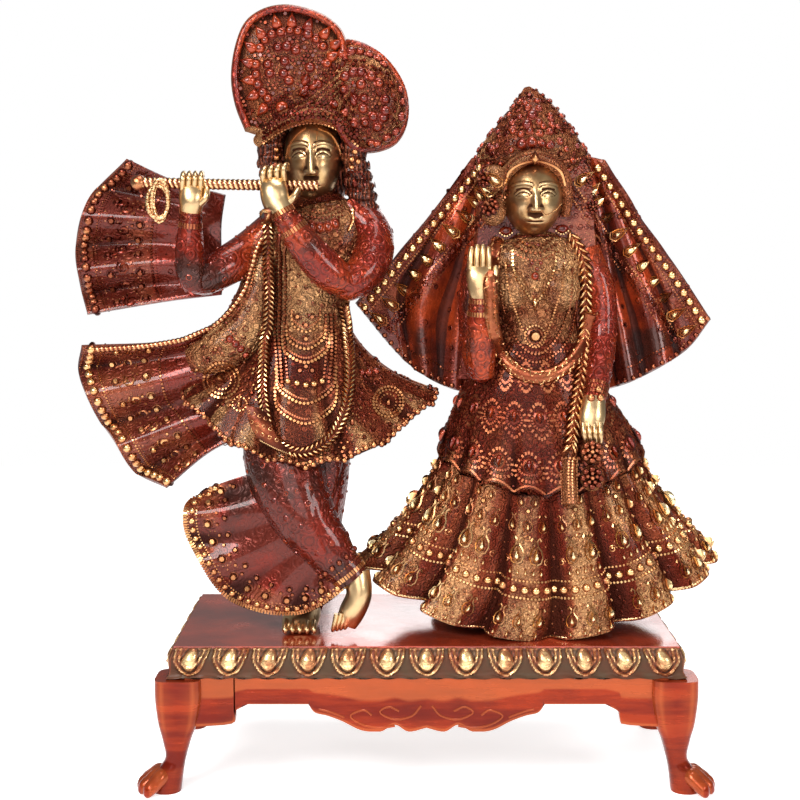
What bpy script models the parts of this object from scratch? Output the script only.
"""Cast brass group of a flute player and his companion on a low claw-footed stool.

The figures are drawn on a square sheet, as an eye in front of them sees it. A place on the sheet is a pair of
squares, counted right and down from its top left corner, and a depth in millimetres behind the figures' middle
plane. Each figure is then scaled to its own height and stood on the stool.
"""

import math

import bmesh
import bpy
import numpy as np
from mathutils import Vector
from mathutils.bvhtree import BVHTree

# Stool, in metres
STOOL_WIDTH = 0.447
STOOL_DEPTH = 0.200
STOOL_HEIGHT = 0.129
MOULDING_HEIGHT = 0.027
TOP_PLATE = 0.008
WALL = 0.009
RAIL_HEIGHT = 0.022
RAIL_INSET = 0.004
APRON_DROP = 0.024
APRON_SHARE = 0.40
BRACKET_DROP = 0.020
BRACKET_REACH = 0.034
LEG_OVERHANG = 0.006
LEG_SIDE = 0.038
ANKLE_SIDE = 0.017
ANKLE_HEIGHT = 0.030
FOOT_REACH = 0.030
TOE_RADIUS = 0.0075
TOES = 4
TOE_TURN = math.radians(14)
TOE_SPREAD = math.radians(23)
EGGS_LONG = 13
EGGS_SHORT = 5
BOARD_LAP = 0.001
EGG_RELIEF = 0.006
OCTAGON = 1.14
SHORT_CARVING = 0.6
STOOL_SHIFT = 0.0225

# Figures, in metres
KRISHNA_HEIGHT = 0.542
RADHA_HEIGHT = 0.476
KRISHNA_LEFT = 0.1135
RADHA_RIGHT = 0.0994
SEAT_GAP = 0.0003
CLOTH = 0.0055
FLUTE_RADIUS = 0.0048
BEAD_RADIUS = 0.0034
KRISHNA_GARLAND_RADIUS = 0.0056
RADHA_GARLAND_RADIUS = 0.0075
PLAIT_RADIUS = 0.0078
PLAIT_NECK = 0.0060

# Sheet that the figures are drawn on: the eye's place in metres, and its field in squares
EYE_BACK = 1.28
EYE_HEIGHT = 0.471
EYE_DROP = math.radians(6.34)
EYE_FIELD = 1440.0
SHEET_MIDDLE = 400.0

RED_LACQUER = (0.33, 0.045, 0.02)
BROWN_BRASS = (0.30, 0.10, 0.05)


def clear_scene():
    for thing in list(bpy.data.objects):
        bpy.data.objects.remove(thing)


def make_material(name, colour, roughness, metallic):
    material = bpy.data.materials.new(name)
    material.use_nodes = True
    shader = material.node_tree.nodes["Principled BSDF"]
    shader.inputs["Base Color"].default_value = (*colour, 1)
    shader.inputs["Roughness"].default_value = roughness
    shader.inputs["Metallic"].default_value = metallic
    return material


def on_sheet(across, down, depth):
    """The point at a depth in metres that the eye sees at a place on the sheet."""
    right = (across - SHEET_MIDDLE) / EYE_FIELD
    rise = (SHEET_MIDDLE - down) / EYE_FIELD
    ray = Vector(
        (
            right,
            math.cos(EYE_DROP) + rise * math.sin(EYE_DROP),
            rise * math.cos(EYE_DROP) - math.sin(EYE_DROP),
        )
    )
    return Vector((0, -EYE_BACK, EYE_HEIGHT)) + ray * ((depth + EYE_BACK) / ray.y)


def smooth(rows, steps):
    """A Catmull-Rom curve through rows of numbers, with this many steps between rows."""
    rows = np.array(rows, float)
    padded = np.concatenate([[2 * rows[0] - rows[1]], rows, [2 * rows[-1] - rows[-2]]])
    made = []
    for i in range(len(rows) - 1):
        a, b, c, d = padded[i : i + 4]
        for t in np.linspace(0, 1, steps, endpoint=False):
            made.append(
                b + 0.5 * t * (c - a + t * (2 * a - 5 * b + 4 * c - d + t * (3 * (b - c) + d - a)))
            )
    made.append(rows[-1])
    return np.array(made)


def shell_of(rings, flat=False):
    """A closed mesh through rings of points, each end closed by a fan, or by one face where it is flat."""
    mesh = bmesh.new()
    rows = [[mesh.verts.new(point) for point in ring] for ring in rings]
    count = len(rows[0])
    for near, far in zip(rows, rows[1:]):
        for i in range(count):
            j = (i + 1) % count
            mesh.faces.new((near[i], near[j], far[j], far[i]))
    for row, ring in ((rows[0], rings[0]), (rows[-1], rings[-1])):
        if flat:
            mesh.faces.new(row)
            continue
        middle = mesh.verts.new(sum((Vector(point) for point in ring), Vector()) / count)
        for i in range(count):
            mesh.faces.new((row[i], row[(i + 1) % count], middle))
    bmesh.ops.recalc_face_normals(mesh, faces=mesh.faces[:])
    return mesh


class Figure:
    """A figure's own frame: its drawing scaled to its height and stood at its place on the stool."""

    def __init__(self, height, top, foot, place):
        crown = on_sheet(*top, 0)
        self.seat = on_sheet(*foot, 0)
        self.scale = height / (crown.z - self.seat.z)
        self.place = place

    def at(self, across, down, depth=0.0):
        flat = on_sheet(across, down, depth / 1000)
        return self.place + (flat - self.seat) * self.scale

    def eye(self):
        return self.place + (Vector((0, -EYE_BACK, EYE_HEIGHT)) - self.seat) * self.scale

    def width(self, squares, down, depth=0.0):
        return (self.at(squares, down, depth) - self.at(0, down, depth)).length

    def tube(self, stations, sides=8, steps=1, toward=False):
        """A limb through stations of across, down, depth, half width in squares and half depth in millimetres.

        One that runs toward the viewer has its second half size upright instead.
        """
        rows = smooth(stations, steps)
        centres = [self.at(*row[:3]) for row in rows]
        rings = []
        for i, (row, centre) in enumerate(zip(rows, centres)):
            along = centres[min(i + 1, len(rows) - 1)] - centres[max(i - 1, 0)]
            side = along.cross(Vector((0, 0, 1)) if toward else Vector((0, 1, 0))).normalized()
            up = side.cross(along).normalized()
            wide = self.width(row[3], row[1], row[2])
            deep = row[4] / 1000 * self.scale
            rings.append(
                [
                    centre + side * wide * math.cos(turn) + up * deep * math.sin(turn)
                    for turn in np.linspace(0, 2 * math.pi, sides, endpoint=False)
                ]
            )
        return shell_of(rings)

    def bell(self, stations, sides, pleats=0, steps=2, scallops=0, scallop=0.0, start=0.0):
        """A skirt through stations of across, down, half width, half depth, front drop, back drop and pleat share.

        The drops are in millimetres below the sides' level, and a pleat's depth is a share of the radius.
        """
        rows = smooth(stations, steps)
        rings = []
        for i, (across, down, wide, deep, front, back, pleat) in enumerate(rows):
            ring = []
            for turn in np.linspace(0, 2 * math.pi, sides, endpoint=False):
                valley = math.exp(-((math.sin((turn + start) * pleats / 2) / 0.42) ** 2)) if pleats else 0
                radius = 1 - pleat * valley
                drop = (front if math.sin(turn) > 0 else back) * math.sin(turn) ** 2
                drop -= scallop * abs(math.sin(turn * scallops / 2)) * (i / (len(rows) - 1)) ** 3
                side = self.at(across, down)
                reach = self.width(wide, down)
                ring.append(
                    side
                    + Vector(
                        (
                            reach * radius * math.cos(turn),
                            -deep / 1000 * self.scale * radius * math.sin(turn),
                            -drop / 1000 * self.scale,
                        )
                    )
                )
            rings.append(ring)
        return shell_of(rings)

    def cloth(self, net, along=2, over=3, folds=0, fold=0.0, thickness=CLOTH):
        """A thick sheet through a net of across, down and depth, folded along its rows, deepest at the last row."""
        grid = np.array([smooth(row, over) for row in net])
        grid = np.stack([smooth(grid[:, j], along) for j in range(grid.shape[1])], axis=1)
        rows, columns = grid.shape[:2]
        for i in range(rows):
            for j in range(columns):
                share = j / (columns - 1)
                wave = math.cos(2 * math.pi * folds * share)
                grid[i, j, 2] -= fold * wave * i / (rows - 1)
        points = np.array([[self.at(*grid[i, j]) for j in range(columns)] for i in range(rows)])
        across = np.gradient(points, axis=1)
        down = np.gradient(points, axis=0)
        normal = np.cross(across, down)
        normal /= np.linalg.norm(normal, axis=2, keepdims=True)
        half = thickness * self.scale / 2
        mesh = bmesh.new()
        faces = [
            [[mesh.verts.new(points[i, j] + normal[i, j] * half * sign) for j in range(columns)] for i in range(rows)]
            for sign in (1, -1)
        ]
        for layer in faces:
            for i in range(rows - 1):
                for j in range(columns - 1):
                    mesh.faces.new((layer[i][j], layer[i][j + 1], layer[i + 1][j + 1], layer[i + 1][j]))
        rim = [(0, j) for j in range(columns)] + [(i, columns - 1) for i in range(1, rows)]
        rim += [(rows - 1, j) for j in range(columns - 2, -1, -1)] + [(i, 0) for i in range(rows - 2, 0, -1)]
        for (i, j), (k, m) in zip(rim, rim[1:] + rim[:1]):
            mesh.faces.new((faces[0][i][j], faces[0][k][m], faces[1][k][m], faces[1][i][j]))
        bmesh.ops.recalc_face_normals(mesh, faces=mesh.faces[:])
        return mesh

    def pillow(self, outline, layers, steps=2):
        """A cushion-like solid over an outline, through layers of depth and share of the outline's size."""
        outline = smooth([*outline, outline[0]], steps)[:-1]
        middle = outline.mean(axis=0)
        return shell_of(
            [
                [self.at(*(middle + (point - middle) * share), depth) for point in outline]
                for depth, share in layers
            ]
        )

    def ball(self, across, down, depth, wide, high, deep, sides=10, layers=5):
        """An ellipsoid, its half sizes in squares, squares and millimetres."""
        angles = np.linspace(-math.pi / 2, math.pi / 2, layers + 2)[1:-1]
        stations = [
            (across, down + high * math.sin(a), depth, wide * math.cos(a), deep * math.cos(a)) for a in angles
        ]
        ends = [
            (across, down - high, depth, wide * 0.05, deep * 0.05),
            (across, down + high, depth, wide * 0.05, deep * 0.05),
        ]
        return self.tube([ends[0], *stations, ends[1]], sides, 1)


class Surface:
    """The skin of some meshes, to set ornaments on where the eye sees them."""

    def __init__(self, figure, meshes):
        self.figure = figure
        points, faces = [], []
        for mesh in meshes:
            mesh.verts.index_update()
            start = len(points)
            points += [vert.co.copy() for vert in mesh.verts]
            faces += [[start + vert.index for vert in face.verts] for face in mesh.faces]
        self.tree = BVHTree.FromPolygons(points, faces)

    def under(self, across, down):
        """The point and normal that the eye meets at a place on the sheet."""
        eye = self.figure.eye()
        spot, normal, _, _ = self.tree.ray_cast(eye, (self.figure.at(across, down) - eye).normalized())
        if spot is None:
            return self.figure.at(across, down), Vector((0, -1, 0))
        return spot, normal

    def cord(self, path, radius, steps=2, sides=5, proud=0.4):
        """A garland laid on the skin along a path of places, standing proud by a share of its radius."""
        points = []
        for across, down in smooth(path, steps):
            spot, _ = self.under(across, down)
            points.append(spot + Vector((0, -radius * proud * self.figure.scale, 0)))
        depths = np.convolve([point.y for point in points], np.ones(3) / 3, "same")
        for point, depth in zip(points[1:-1], depths[1:-1]):
            point.y = depth
        rings = []
        for i, centre in enumerate(points):
            along = points[min(i + 1, len(points) - 1)] - points[max(i - 1, 0)]
            side = along.cross(Vector((0, 1, 0))).normalized()
            up = side.cross(along).normalized()
            rings.append(
                [
                    centre + (side * math.cos(turn) + up * math.sin(turn)) * radius * self.figure.scale
                    for turn in np.linspace(0, 2 * math.pi, sides, endpoint=False)
                ]
            )
        return shell_of(rings)


def hide(thing):
    thing.hide_render = True
    thing.display_type = "WIRE"


def object_of(name, mesh, collection=None):
    data = bpy.data.meshes.new(name)
    mesh.to_mesh(data)
    mesh.free()
    made = bpy.data.objects.new(name, data)
    (collection or bpy.context.scene.collection).objects.link(made)
    return made


def fuse(name, meshes, material, cutters=()):
    """One solid from overlapping closed meshes, less the cutters."""
    body = object_of(name, meshes[0])
    for operation, group in (("UNION", meshes[1:]), ("DIFFERENCE", cutters)):
        if not group:
            continue
        shelf = bpy.data.collections.new(f"{name}_{operation.lower()}")
        bpy.context.scene.collection.children.link(shelf)
        helpers = [object_of(f"{name}_{operation.lower()}_{i}", mesh, shelf) for i, mesh in enumerate(group)]
        for helper in helpers:
            hide(helper)
        boolean = body.modifiers.new(operation.title(), "BOOLEAN")
        boolean.operation = operation
        boolean.operand_type = "COLLECTION"
        boolean.collection = shelf
        boolean.solver = "EXACT"
        boolean.use_self = operation == "UNION"
        bpy.context.view_layer.update()
        solid = bpy.data.meshes.new_from_object(body.evaluated_get(bpy.context.evaluated_depsgraph_get()))
        body.modifiers.clear()
        body.data = solid
        for helper in helpers:
            bpy.data.objects.remove(helper)
        bpy.data.collections.remove(shelf)
    drop_crumbs(body.data)
    body.data.materials.clear()
    body.data.materials.append(material)
    body.data.shade_smooth()
    body.data.set_sharp_from_angle(angle=math.radians(40))
    return body


def drop_crumbs(data):
    """Keeps the largest shell of a mesh, without the slivers that touch it along an edge."""
    mesh = bmesh.new()
    mesh.from_mesh(data)
    shells, seen = [], set()
    for start in mesh.faces:
        if start in seen:
            continue
        seen.add(start)
        shell, waiting = [], [start]
        while waiting:
            face = waiting.pop()
            shell.append(face)
            for edge in face.edges:
                if len(edge.link_faces) != 2:
                    continue
                for other in edge.link_faces:
                    if other not in seen:
                        seen.add(other)
                        waiting.append(other)
        shells.append(shell)
    shells.sort(key=len)
    bmesh.ops.delete(mesh, geom=[face for shell in shells[:-1] for face in shell], context="FACES")
    mesh.to_mesh(data)
    mesh.free()


def stand_on_stool(body):
    """Sets the figure's lowest point on the stool's top, with the seat's gap under it."""
    lowest = min(vert.co.z for vert in body.data.vertices)
    lift = STOOL_HEIGHT + SEAT_GAP - lowest
    for vert in body.data.vertices:
        vert.co.z += lift


# The flute player

KRISHNA_DISC = [
    (246, 132), (236, 106), (232, 78), (236, 48), (246, 24), (264, 11), (286, 7), (308, 11), (328, 20),
    (343, 36), (348, 62), (350, 100), (342, 128), (316, 118), (286, 122), (266, 136),
]
KRISHNA_LOBE = [
    (330, 44), (352, 42), (376, 52), (394, 70), (406, 94), (407, 122), (396, 144), (374, 153), (352, 150),
    (334, 126), (324, 84),
]
KRISHNA_GARLAND = [
    (270, 214), (268, 250), (268, 300), (266, 350), (264, 400), (272, 436), (296, 453), (322, 446),
    (342, 420), (349, 380), (346, 335), (342, 308),
]
KRISHNA_SHAWL = [(272, 226), (256, 252), (246, 290), (222, 322), (192, 338), (150, 346), (96, 350)]


def krishna_meshes(figure):
    standing_leg = figure.tube(
        [(306, 420, -4, 44, 34), (318, 470, -2, 32, 31), (320, 520, -4, 22, 25), (312, 570, -8, 21, 20),
         (304, 612, -12, 16, 14)]
    )
    crossing_leg = figure.tube(
        [(284, 420, -16, 40, 34), (286, 470, -36, 40, 32), (303, 515, -50, 33, 27), (328, 550, -56, 25, 19),
         (352, 580, -58, 18, 14)],
        10,
    )
    standing_foot = figure.tube(
        [(305, 606, 2, 13, 10), (303, 612, -22, 18, 11), (300, 624, -45, 18, 8), (300, 629, -54, 12, 4)],
        8, 2, True,
    )
    crossing_foot = figure.tube(
        [(356, 572, -57, 15, 12), (359, 594, -60, 14, 13), (350, 612, -60, 14, 13), (344, 626, -60, 12, 9)]
    )
    hem_fan = figure.cloth(
        [
            [(268, 470, -36), (274, 500, -48), (284, 530, -52), (300, 552, -54), (322, 560, -58), (340, 562, -60)],
            [(238, 478, -30), (222, 510, -40), (232, 550, -46), (262, 584, -50), (308, 590, -56), (350, 570, -62)],
            [(212, 488, -26), (184, 512, -34), (196, 556, -42), (236, 604, -48), (306, 612, -56), (362, 574, -62)],
        ],
        2, 4, 4.5, 5.0,
    )
    skirt = figure.bell(
        [(306, 322, 40, 33, 0, 0, 0), (304, 350, 62, 42, 10, 4, 0.03), (304, 374, 92, 56, 30, 12, 0.05),
         (308, 390, 122, 68, 50, 25, 0.07), (311, 398, 128, 72, 54, 28, 0.07)],
        40, 10, 1, 20, 6.0,
    )
    torso = figure.tube(
        [(304, 380, -4, 52, 38), (306, 330, -4, 42, 34), (310, 290, -4, 42, 32), (316, 250, -4, 52, 33),
         (320, 222, -4, 52, 28), (318, 206, -2, 30, 22), (315, 192, -4, 17, 17)],
        10,
    )
    head = figure.ball(313, 160, -10, 27, 43, 31, 10, 5)
    nose = figure.tube([(312, 148, -38, 2, 3), (312, 160, -42, 3, 4), (312, 168, -44, 5, 4), (312, 171, -38, 4, 2)], 6, 1)
    hair = figure.ball(313, 164, 8, 44, 46, 27, 12, 5)
    left_lock = figure.tube(
        [(278, 128, -10, 10, 12), (270, 156, -12, 12, 13), (272, 182, -10, 10, 12), (280, 206, -6, 8, 9)]
    )
    right_lock = figure.tube(
        [(350, 132, -12, 10, 12), (354, 160, -14, 12, 13), (359, 186, -14, 14, 13), (366, 212, -8, 13, 12)]
    )
    disc = figure.pillow(
        KRISHNA_DISC, [(-29, 0.5), (-26, 0.86), (-31, 0.95), (-20, 1.0), (6, 0.98), (24, 0.6)]
    )
    lobe = figure.pillow(KRISHNA_LOBE, [(-34, 0.5), (-27, 0.84), (-12, 1.0), (8, 0.98), (22, 0.6)], 1)
    band = figure.tube(
        [(262, 142, -14, 8, 12), (280, 124, -28, 9, 12), (310, 115, -35, 9, 11), (340, 124, -28, 9, 12),
         (356, 146, -14, 8, 12)]
    )
    far_arm = figure.tube(
        [(274, 232, -2, 20, 18), (250, 252, -6, 20, 18), (222, 270, -22, 19, 17), (200, 284, -34, 14, 14),
         (192, 290, -38, 6, 7)]
    )
    far_forearm = figure.tube(
        [(196, 290, -38, 11, 11), (191, 272, -40, 15, 14), (190, 244, -43, 14, 13), (191, 222, -46, 11, 10),
         (191, 208, -47, 11, 9)]
    )
    far_hand = figure.tube([(191, 212, -48, 11, 9), (192, 196, -50, 13, 11), (192, 180, -50, 12, 9), (192, 175, -50, 8, 5)])
    near_arm = figure.tube(
        [(350, 210, -4, 21, 18), (373, 234, -14, 19, 18), (371, 262, -30, 20, 18), (352, 285, -42, 17, 17),
         (336, 292, -47, 8, 9)]
    )
    near_forearm = figure.tube(
        [(350, 286, -44, 13, 14), (330, 274, -50, 19, 18), (306, 248, -60, 17, 15), (288, 222, -64, 13, 11),
         (282, 212, -64, 12, 10)]
    )
    near_hand = figure.tube([(284, 216, -64, 12, 9), (275, 198, -62, 15, 9), (273, 182, -58, 14, 10), (276, 172, -54, 9, 7)])
    flute = figure.tube(
        [(142, 184, -49, FLUTE_SQUARES, FLUTE_DEPTH), (230, 186, -50, FLUTE_SQUARES, FLUTE_DEPTH),
         (318, 187, -48, FLUTE_SQUARES, FLUTE_DEPTH)],
        8, 1,
    )
    knob = figure.ball(139, 184, -48, 8, 8, 7, 6, 2)
    loop = [
        (160 + 9 * math.cos(turn), 203 + 19 * math.sin(turn), -50 + 3 * math.sin(turn), 4, 4)
        for turn in np.linspace(-0.6 * math.pi, 1.4 * math.pi, 12)
    ]
    tassel = figure.tube(loop[:-1], 5)
    top_wing = figure.cloth(
        [
            [(226, 196, -10), (222, 224, -8), (222, 252, -10), (224, 276, -12), (222, 296, -10)],
            [(176, 182, -6), (162, 212, -4), (158, 244, -6), (160, 276, -6), (166, 303, -6)],
            [(127, 160, 0), (88, 202, 4), (76, 248, 2), (80, 284, 2), (88, 316, 2)],
        ],
        2, 4, 3.0, 7.5,
    )
    low_wing = figure.cloth(
        [
            [(262, 318, -10), (262, 342, -12), (262, 366, -12), (262, 390, -12), (264, 412, -12), (262, 430, -10)],
            [(172, 341, -8), (168, 362, -8), (172, 392, -6), (186, 416, -6), (202, 436, -6), (212, 452, -6)],
            [(82, 346, -2), (79, 374, 0), (94, 412, 2), (113, 440, 2), (134, 472, 2), (167, 489, 0)],
        ],
        2, 3, 3.0, 8.0,
    )
    coat_side = figure.tube(
        [(282, 214, 4, 17, 18), (268, 246, 2, 16, 20), (262, 290, -4, 22, 24), (246, 330, -12, 26, 22),
         (218, 352, -18, 22, 18), (190, 362, -16, 12, 9)]
    )
    return [
        torso, standing_leg, crossing_leg, standing_foot, crossing_foot, hem_fan, skirt, head, nose, hair,
        left_lock, right_lock, disc, lobe, band, far_arm, far_forearm, far_hand, near_arm, near_forearm,
        near_hand, flute, knob, tassel, top_wing, low_wing, coat_side,
    ]


def krishna_ornaments(figure, meshes):
    skin = Surface(figure, meshes)
    return [skin.cord(KRISHNA_GARLAND, KRISHNA_GARLAND_RADIUS), skin.cord(KRISHNA_SHAWL, BEAD_RADIUS)]


# His companion

RADHA_GARLAND = [
    (498, 240), (492, 270), (490, 310), (497, 345), (515, 368), (538, 376), (562, 368), (580, 346), (592, 312),
]
RADHA_NECKLACE = [(512, 242), (512, 290), (520, 328), (534, 348), (549, 328), (558, 290), (560, 242)]


def radha_meshes(figure):
    skirt = figure.bell(
        [(536, 400, 74, 45, 10, 8, 0.03), (538, 440, 92, 54, 20, 16, 0.05),
         (540, 490, 122, 64, 36, 32, 0.10), (540, 530, 158, 72, 52, 50, 0.14), (534, 556, 182, 77, 55, 55, 0.15)],
        60, 15, 1, 0, 0.0, 0.16,
    )
    overskirt = figure.bell(
        [(531, 340, 53, 34, 0, 0, 0), (533, 385, 71, 45, 7, 4, 0), (538, 425, 92, 55, 18, 12, 0.02),
         (540, 456, 104, 64, 26, 20, 0.03)],
        40, 10, 1, 20, 8.0,
    )
    torso = figure.tube(
        [(531, 372, 0, 60, 36), (531, 346, 0, 52, 34), (532, 312, 0, 46, 33), (533, 280, 0, 50, 34),
         (534, 256, 0, 56, 32), (535, 240, 2, 44, 26), (535, 230, 2, 20, 18), (535, 214, -2, 17, 16)],
        12,
    )
    left_breast = figure.ball(509, 288, -22, 22, 23, 20, 8, 4)
    right_breast = figure.ball(558, 288, -22, 22, 23, 20, 8, 4)
    head = figure.ball(534, 197, -14, 27, 38, 30, 10, 5)
    nose = figure.tube([(535, 188, -42, 2, 3), (535, 200, -46, 3, 4), (535, 207, -47, 4.5, 4), (535, 210, -41, 4, 2)], 6, 1)
    crown = figure.tube(
        [(527, 87, 4, 3, 4), (529, 97, 4, 13, 14), (531, 112, 4, 26, 24), (532, 130, 4, 40, 32),
         (533, 148, 4, 54, 38), (537, 165, 4, 62, 40), (540, 185, 6, 70, 38), (541, 205, 8, 70, 34),
         (540, 232, 10, 60, 28), (538, 250, 8, 48, 24)],
        12, 1,
    )
    hair_band = figure.tube(
        [(500, 196, -20, 6, 9), (506, 176, -28, 7, 9), (520, 162, -36, 7, 9), (535, 158, -39, 7, 9),
         (552, 162, -36, 7, 9), (564, 176, -28, 7, 9), (568, 196, -20, 6, 9)],
        6,
    )
    roses = [figure.ball(494, 178, -30, 15, 16, 13, 8, 3), figure.ball(494, 212, -28, 13, 14, 12, 8, 3)]
    near_arm = figure.tube(
        [(488, 250, 0, 16, 16), (476, 290, -4, 16, 16), (476, 340, -16, 16, 15), (482, 368, -30, 14, 13),
         (486, 376, -36, 6, 6)]
    )
    near_forearm = figure.tube(
        [(482, 374, -38, 12, 11), (481, 350, -43, 15, 13), (481, 322, -47, 14, 12), (481, 296, -50, 11, 9)]
    )
    near_hand = figure.tube(
        [(481, 302, -50, 12, 8), (480, 284, -51, 15, 7), (480, 266, -50, 14, 6), (481, 252, -48, 11, 5),
         (482, 243, -47, 5, 3)]
    )
    far_arm = figure.tube(
        [(584, 250, 0, 16, 16), (600, 290, -6, 15, 15), (602, 335, -14, 14, 13), (598, 372, -32, 13, 12),
         (594, 400, -46, 11, 9)]
    )
    far_hand = figure.tube(
        [(594, 396, -46, 11, 8), (592, 414, -52, 14, 8), (591, 432, -56, 13, 7), (591, 446, -60, 9, 7)]
    )
    flowers = [figure.ball(592, 450, -58, 14, 14, 12, 8, 3), figure.ball(592, 476, -62, 13, 15, 12, 8, 3)]
    tassel = figure.tube([(570, 446, -54, 8, 7), (569, 474, -60, 10, 9), (570, 502, -66, 11, 10)], 6, 1)
    veil_back = figure.bell(
        [(538, 170, 62, 36, 0, 0, 0), (536, 230, 62, 30, 0, 0, 0), (534, 300, 66, 34, 0, 0, 0.04),
         (534, 376, 79, 46, 0, 0, 0.06)],
        24, 6, 1,
    )
    left_wing = figure.cloth(
        [
            [(505, 160, 10), (500, 210, 16), (496, 270, 18), (494, 330, 16), (490, 392, 10)],
            [(488, 156, 8), (478, 210, 14), (465, 270, 16), (452, 325, 14), (448, 386, 8)],
            [(476, 158, 8), (447, 204, 14), (420, 246, 18), (396, 290, 18), (404, 358, 14)],
            [(476, 158, 6), (444, 199, 12), (414, 234, 15), (384, 270, 16), (356, 302, 16)],
        ],
        1, 3, 3.0, 5.0,
    )
    right_wing = figure.cloth(
        [
            [(570, 160, 10), (576, 210, 16), (582, 270, 18), (588, 330, 16), (600, 390, 10)],
            [(586, 156, 8), (600, 210, 14), (612, 270, 16), (626, 325, 14), (636, 378, 8)],
            [(598, 158, 6), (622, 204, 8), (645, 246, 8), (668, 292, 8), (684, 350, 6)],
            [(603, 160, 4), (624, 192, 2), (647, 227, 2), (676, 266, 2), (710, 318, 2)],
        ],
        1, 3, 3.0, 5.0,
    )
    return [
        skirt, overskirt, torso, left_breast, right_breast, head, nose, crown, hair_band, *roses, near_arm,
        near_forearm, near_hand, far_arm, far_hand, *flowers, tassel, veil_back, left_wing, right_wing,
    ]


def radha_ornaments(figure, meshes):
    skin = Surface(figure, meshes)
    return [
        skin.cord(RADHA_GARLAND, RADHA_GARLAND_RADIUS),
        skin.cord(RADHA_NECKLACE, BEAD_RADIUS),
        plait(skin),
    ]


def plait(skin):
    """The long plait over her shoulder, swelling at each crossing."""
    path = smooth([(572, 236), (584, 262), (585, 300), (583, 340), (580, 372), (574, 408), (570, 452)], 3)
    rings = []
    for i, (across, down) in enumerate(path):
        spot, _ = skin.under(across, down)
        radius = (PLAIT_RADIUS if i % 2 else PLAIT_NECK) * skin.figure.scale
        rings.append(
            [
                Vector((spot.x, spot.y, spot.z)) + Vector((math.cos(turn), -0.8 * math.sin(turn), 0)) * radius
                for turn in np.linspace(0, 2 * math.pi, 5, endpoint=False)
            ]
        )
    return shell_of(rings)


# The stool


def block(low, high):
    """A box between two corners."""
    mesh = bmesh.new()
    bmesh.ops.create_cube(mesh, size=1)
    for vert in mesh.verts:
        for axis in range(3):
            vert.co[axis] = low[axis] if vert.co[axis] < 0 else high[axis]
    return mesh


def board(outline, direction, inner, outer):
    """An upright board: an outline along the rail and up, from its inner to its outer face."""
    along, out = direction
    rings = [
        [Vector((STOOL_SHIFT, 0, up)) + along * run + out * face for run, up in outline] for face in (inner, outer)
    ]
    return shell_of(rings, flat=True)


def rail_outline(half, carving):
    """A rail's outline, with the apron's curled drop in its middle and a bracket at each end."""
    top = STOOL_HEIGHT - MOULDING_HEIGHT + BOARD_LAP
    low = STOOL_HEIGHT - MOULDING_HEIGHT - RAIL_HEIGHT
    drop = APRON_DROP * carving
    reach = half * APRON_SHARE * (0.3 + 0.7 * carving)
    curls = [
        (1.12, 0), (1.06, -0.30), (0.94, -0.42), (0.80, -0.62), (0.62, -0.95), (0.44, -1.0), (0.30, -0.75),
        (0.17, -1.0), (0.0, -0.86),
    ]
    side = [(reach * run, low + drop * up) for run, up in curls]
    bracket_start = half - LEG_SIDE - BRACKET_REACH * carving
    bracket = [
        (bracket_start, low),
        (bracket_start + 0.35 * BRACKET_REACH * carving, low - 0.35 * BRACKET_DROP),
        (bracket_start + 0.40 * BRACKET_REACH * carving, low - 0.85 * BRACKET_DROP),
        (half - LEG_SIDE * 0.5, low - BRACKET_DROP),
    ]
    right = [*bracket[::-1], *side]
    left = [(-run, up) for run, up in right[-2::-1]]
    return [(half - LEG_SIDE * 0.5, top), *right, *left, (-(half - LEG_SIDE * 0.5), top)]


def leg(corner_x, corner_y):
    """A bowed leg under one corner, with its claw foot turned outward along the stool."""
    knee_x = STOOL_WIDTH / 2 + LEG_OVERHANG
    knee_y = STOOL_DEPTH / 2 + LEG_OVERHANG / 2
    shoulder = STOOL_HEIGHT - MOULDING_HEIGHT
    stations = [
        (shoulder + MOULDING_HEIGHT / 6, 0.50, 0.50, LEG_SIDE / 2),
        (shoulder - 0.8 * RAIL_HEIGHT, 0.50, 0.50, LEG_SIDE / 2),
        (0.62 * shoulder, 0.47, 0.50, 0.42 * LEG_SIDE),
        (0.45 * shoulder, 0.42, 0.52, 0.30 * LEG_SIDE),
        (ANKLE_HEIGHT, 0.38, 0.54, ANKLE_SIDE / 2),
        (0.6 * ANKLE_HEIGHT, 0.26, 0.54, 0.62 * ANKLE_SIDE),
        (0.0, 0.16, 0.54, 0.70 * ANKLE_SIDE),
    ]
    rings = []
    for up, inset_x, inset_y, half in stations:
        centre = Vector(
            (
                STOOL_SHIFT + corner_x * (knee_x - inset_x * LEG_SIDE),
                corner_y * (knee_y - inset_y * LEG_SIDE),
                up,
            )
        )
        rings.append(
            [
                centre + Vector((math.cos(turn), math.sin(turn), 0)) * half * OCTAGON
                for turn in np.linspace(math.pi / 8, 2 * math.pi + math.pi / 8, 8, endpoint=False)
            ]
        )
    meshes = [shell_of(rings)]
    heel = Vector(
        (
            STOOL_SHIFT + corner_x * (knee_x - 0.28 * LEG_SIDE),
            corner_y * (knee_y - 0.56 * LEG_SIDE),
            0,
        )
    )
    for toe in range(TOES):
        turn = TOE_TURN + TOE_SPREAD * (toe - (TOES - 1) / 2)
        away = Vector((corner_x * math.cos(turn), corner_y * math.sin(turn), 0))
        side = Vector((-away.y, away.x, 0))
        rings = []
        for run, up, radius in ((-0.1 * toe, 1.9, 0.8), (0.5, 1.8, 1.05), (1.0, 0.9, 0.95)):
            middle = heel + away * FOOT_REACH * run + Vector((0, 0, up * TOE_RADIUS))
            rings.append(
                [
                    middle
                    + side * TOE_RADIUS * radius * 0.9 * math.cos(angle)
                    + Vector((0, 0, TOE_RADIUS * radius * math.sin(angle)))
                    for angle in np.linspace(0, 2 * math.pi, 6, endpoint=False)
                ]
            )
        meshes.append(shell_of(rings))
    return meshes


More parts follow.
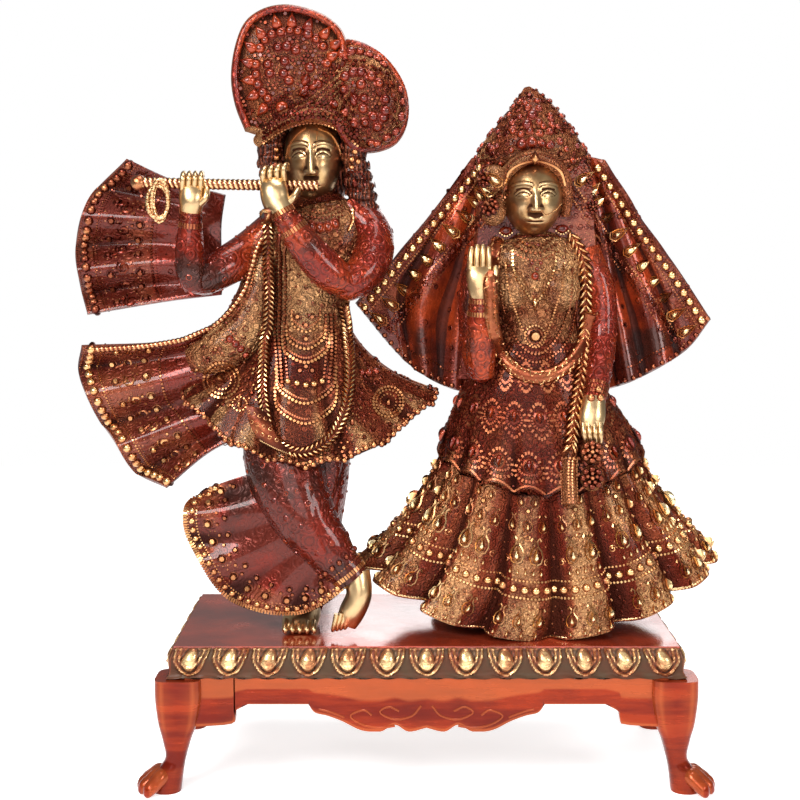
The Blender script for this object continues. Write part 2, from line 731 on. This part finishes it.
def rails():
    """Each side's outward and lengthwise directions, its distance out, its half length, its eggs and its carving's size."""
    half_x, half_y = STOOL_WIDTH / 2, STOOL_DEPTH / 2
    return [
        (Vector((0, -1, 0)), Vector((1, 0, 0)), half_y, half_x, EGGS_LONG, 1.0),
        (Vector((1, 0, 0)), Vector((0, 1, 0)), half_x, half_y, EGGS_SHORT, SHORT_CARVING),
        (Vector((0, 1, 0)), Vector((-1, 0, 0)), half_y, half_x, EGGS_LONG, 1.0),
        (Vector((-1, 0, 0)), Vector((0, -1, 0)), half_x, half_y, EGGS_SHORT, SHORT_CARVING),
    ]


def moulding_ring(up, inset, relief):
    """One level of the egg moulding, going round the stool with a valley and two shoulders to each egg."""
    ring = []
    for out, along, face, half, eggs, _ in rails():
        pitch = 2 * half / eggs
        for i in range(eggs):
            for share, rise in ((0.0, 0.0), (0.26, 1.0), (0.74, 1.0)):
                run = (i + share) * pitch - half
                run *= 1 - inset / half
                ring.append(
                    Vector((STOOL_SHIFT, 0, up)) + along * run + out * (face - inset + relief * rise)
                )
    return ring


def stool_meshes():
    under = STOOL_HEIGHT - MOULDING_HEIGHT
    meshes = [
        shell_of(
            [
                moulding_ring(under, RAIL_INSET - BOARD_LAP, 0.0),
                moulding_ring(under + 0.22 * MOULDING_HEIGHT, EGG_RELIEF, 0.7 * EGG_RELIEF),
                moulding_ring(under + 0.62 * MOULDING_HEIGHT, EGG_RELIEF, EGG_RELIEF),
                moulding_ring(STOOL_HEIGHT, 1.6 * EGG_RELIEF, 0.4 * EGG_RELIEF),
            ],
            flat=True,
        )
    ]
    for out, along, face, half, _, carving in rails():
        outer = face - RAIL_INSET
        meshes.append(board(rail_outline(half, carving), (along, out), outer - WALL, outer))
    for corner_x in (-1, 1):
        for corner_y in (-1, 1):
            meshes += leg(corner_x, corner_y)
    return meshes


def build():
    clear_scene()
    seat = STOOL_HEIGHT + SEAT_GAP
    figure = Figure(KRISHNA_HEIGHT, (280, 8), (300, 617), Vector((STOOL_SHIFT - KRISHNA_LEFT, 0, seat)))
    meshes = krishna_meshes(figure)
    meshes += krishna_ornaments(figure, meshes)
    brown = make_material("brown_brass", BROWN_BRASS, 0.4, 0.9)
    stand_on_stool(fuse("krishna_with_flute", meshes, brown))

    figure = Figure(RADHA_HEIGHT, (527, 87), (534, 617), Vector((STOOL_SHIFT + RADHA_RIGHT, 0, seat)))
    meshes = radha_meshes(figure)
    meshes += radha_ornaments(figure, meshes)
    stand_on_stool(fuse("radha", meshes, brown))

    half_x, half_y = STOOL_WIDTH / 2 - 2 * WALL, STOOL_DEPTH / 2 - 2 * WALL
    hollow = block(
        (STOOL_SHIFT - half_x, -half_y, STOOL_HEIGHT - MOULDING_HEIGHT - 0.001),
        (STOOL_SHIFT + half_x, half_y, STOOL_HEIGHT - TOP_PLATE),
    )
    fuse("stool", stool_meshes(), make_material("red_lacquer", RED_LACQUER, 0.25, 0.6), [hollow])


FLUTE_SQUARES = FLUTE_RADIUS * 1130
FLUTE_DEPTH = FLUTE_RADIUS * 1000

build()
